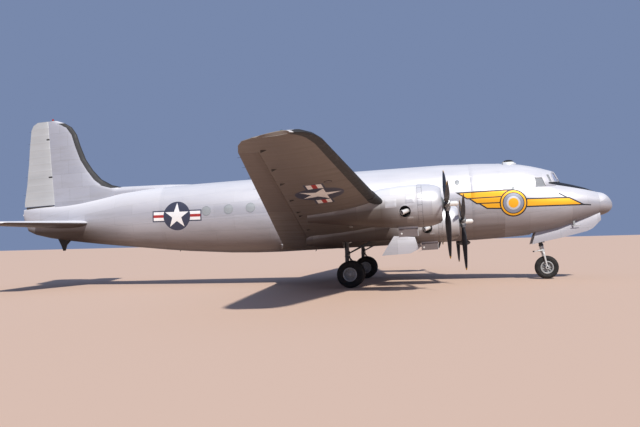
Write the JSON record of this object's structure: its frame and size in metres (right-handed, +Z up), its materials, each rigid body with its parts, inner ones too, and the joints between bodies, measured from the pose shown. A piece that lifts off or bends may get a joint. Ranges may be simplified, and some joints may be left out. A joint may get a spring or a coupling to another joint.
{
  "type": "military transport plane",
  "caption": "Low-wing propeller transport plane parked on tricycle landing gear, with hinged control surfaces, flaps, a cargo door and turning wheels and propellers.",
  "frame": {"origin": "on the ground, at the middle of the bounding box's base", "axes": "+X forward along the ground, +Y to the plane's left, +Z up"},
  "size_m": [28.6496, 35.81, 8.4277],
  "materials": {
    "aluminium_paint": "aluminium lacquer over sheet aluminium, satin, weathered",
    "perspex": "clear, dusty",
    "steel": "grey enamel over steel, semi-gloss",
    "black_paint": "black matt paint over forged aluminium",
    "tyre": "worn black rubber",
    "cabin_paint": "green primer, matt"
  },
  "bodies": {
    "airframe": {"wing_center_section": "aluminium_paint", "wing_outer_left": "aluminium_paint", "wing_outer_right": "aluminium_paint", "cockpit_windows": "perspex", "nose_section": "aluminium_paint", "nose_cap": "aluminium_paint", "astrodome": "perspex", "cabin_forward": "aluminium_paint", "cabin_center": "aluminium_paint", "cabin_floor": "cabin_paint", "cabin_aft": "aluminium_paint", "fin": "aluminium_paint", "tail_section": "aluminium_paint", "tail_bumper": "black_paint", "tailplane_left": "aluminium_paint", "tailplane_right": "aluminium_paint", "cowl_outer_left": "aluminium_paint", "engine_outer_left": "steel", "nacelle_outer_left": "aluminium_paint", "cowl_inner_left": "aluminium_paint", "engine_inner_left": "steel", "nacelle_inner_left": "aluminium_paint", "cowl_inner_right": "aluminium_paint", "engine_inner_right": "steel", "nacelle_inner_right": "aluminium_paint", "cowl_outer_right": "aluminium_paint", "engine_outer_right": "steel", "nacelle_outer_right": "aluminium_paint", "main_leg_left": "steel", "main_leg_right": "steel", "nose_leg": "steel", "main_gear_door_outer_left": "aluminium_paint", "main_gear_door_inner_left": "aluminium_paint", "nose_gear_door_left": "aluminium_paint", "main_gear_door_outer_right": "aluminium_paint", "main_gear_door_inner_right": "aluminium_paint", "nose_gear_door_right": "aluminium_paint"},
    "flap_left": {"flap_left": "aluminium_paint"},
    "aileron_left": {"aileron_left": "aluminium_paint"},
    "flap_right": {"flap_right": "aluminium_paint"},
    "aileron_right": {"aileron_right": "aluminium_paint"},
    "cargo_door_front": {"cargo_door_front": "aluminium_paint"},
    "cargo_door_rear": {"cargo_door_rear": "aluminium_paint"},
    "rudder": {"rudder": "aluminium_paint"},
    "elevator_left": {"elevator_left": "aluminium_paint"},
    "elevator_right": {"elevator_right": "aluminium_paint"},
    "propeller_outer_left": {"propeller_outer_left": "black_paint"},
    "propeller_inner_left": {"propeller_inner_left": "black_paint"},
    "propeller_inner_right": {"propeller_inner_right": "black_paint"},
    "propeller_outer_right": {"propeller_outer_right": "black_paint"},
    "main_wheels_left": {"main_wheels_left": "steel", "main_tyre_inner_left": "tyre", "main_tyre_outer_left": "tyre"},
    "main_wheels_right": {"main_wheels_right": "steel", "main_tyre_inner_right": "tyre", "main_tyre_outer_right": "tyre"},
    "nose_wheel": {"nose_wheel": "steel", "nose_tyre": "tyre"},
    "nose_fork": {"nose_fork": "steel"}
  },
  "joints": [
    {"name": "propeller_outer_left_spin", "type": "hinge", "parent": "airframe", "child": "propeller_outer_left", "pos_m": [6.7623, 8.176, 3.22065], "axis": [0.9992, 0, 0.04], "continuous": true},
    {"name": "propeller_inner_left_spin", "type": "hinge", "parent": "airframe", "child": "propeller_inner_left", "pos_m": [7.50254, 3.765, 2.65482], "axis": [0.9992, 0, 0.04], "continuous": true},
    {"name": "propeller_inner_right_spin", "type": "hinge", "parent": "airframe", "child": "propeller_inner_right", "pos_m": [7.50254, -3.765, 2.65482], "axis": [0.9992, 0, 0.04], "continuous": true},
    {"name": "propeller_outer_right_spin", "type": "hinge", "parent": "airframe", "child": "propeller_outer_right", "pos_m": [6.7623, -8.176, 3.22065], "axis": [0.9992, 0, 0.04], "continuous": true},
    {"name": "main_wheels_left_roll", "type": "hinge", "parent": "airframe", "child": "main_wheels_left", "pos_m": [2.76859, 3.765, 0.5625], "axis": [0, 1, 0], "continuous": true},
    {"name": "main_wheels_right_roll", "type": "hinge", "parent": "airframe", "child": "main_wheels_right", "pos_m": [2.76859, -3.765, 0.5625], "axis": [0, 1, 0], "continuous": true},
    {"name": "nose_steering", "type": "hinge", "parent": "airframe", "child": "nose_fork", "pos_m": [11.15984, 0, 1.48858], "axis": [-0.2079, 0, 0.9781], "range_deg": [-45, 45]},
    {"name": "nose_wheel_roll", "type": "hinge", "parent": "nose_fork", "child": "nose_wheel", "pos_m": [11.36359, 0, 0.53], "axis": [0, 1, 0], "continuous": true},
    {"name": "rudder_hinge", "type": "hinge", "parent": "airframe", "child": "rudder", "pos_m": [-12.63779, 0, 4.15186], "axis": [-0.076, 0, 0.9971], "range_deg": [-20, 20]},
    {"name": "elevator_hinge_left", "type": "hinge", "parent": "airframe", "child": "elevator_left", "pos_m": [-12.51198, 0.52, 3.09605], "axis": [-0.0407, 0.9992, -0.0016], "range_deg": [-15, 25]},
    {"name": "elevator_hinge_right", "type": "hinge", "parent": "airframe", "child": "elevator_right", "pos_m": [-12.51198, -0.52, 3.09605], "axis": [0.0407, 0.9992, 0.0016], "range_deg": [-15, 25]},
    {"name": "aileron_hinge_left", "type": "hinge", "parent": "airframe", "child": "aileron_left", "pos_m": [1.20598, 9.006, 3.18994], "axis": [0.0737, 0.9851, 0.1552], "range_deg": [-15, 15]},
    {"name": "aileron_hinge_right", "type": "hinge", "parent": "airframe", "child": "aileron_right", "pos_m": [1.20598, -9.006, 3.18994], "axis": [-0.0737, 0.9851, -0.1552], "range_deg": [-15, 15]},
    {"name": "flap_hinge_left", "type": "hinge", "parent": "airframe", "child": "flap_left", "pos_m": [0.6682, 1.778, 2.02701], "axis": [0.0733, 0.9846, 0.1584], "range_deg": [-40, 0]},
    {"name": "flap_hinge_right", "type": "hinge", "parent": "airframe", "child": "flap_right", "pos_m": [0.6682, -1.778, 2.02701], "axis": [-0.0733, 0.9846, -0.1584], "range_deg": [-40, 0]},
    {"name": "cargo_door_front_hinge", "type": "hinge", "parent": "airframe", "child": "cargo_door_front", "pos_m": [-2.61445, 1.56793, 2.67689], "axis": [0.04, 0, -0.9992], "range_deg": [0, 110]},
    {"name": "cargo_door_rear_hinge", "type": "hinge", "parent": "airframe", "child": "cargo_door_rear", "pos_m": [-5.00254, 1.37967, 2.58122], "axis": [-0.04, 0, 0.9992], "range_deg": [0, 110]}
  ],
  "couplings": [
    {"joint": "elevator_hinge_right", "follows": "elevator_hinge_left", "ratio": 1},
    {"joint": "aileron_hinge_right", "follows": "aileron_hinge_left", "ratio": -1},
    {"joint": "flap_hinge_right", "follows": "flap_hinge_left", "ratio": 1}
  ]
}
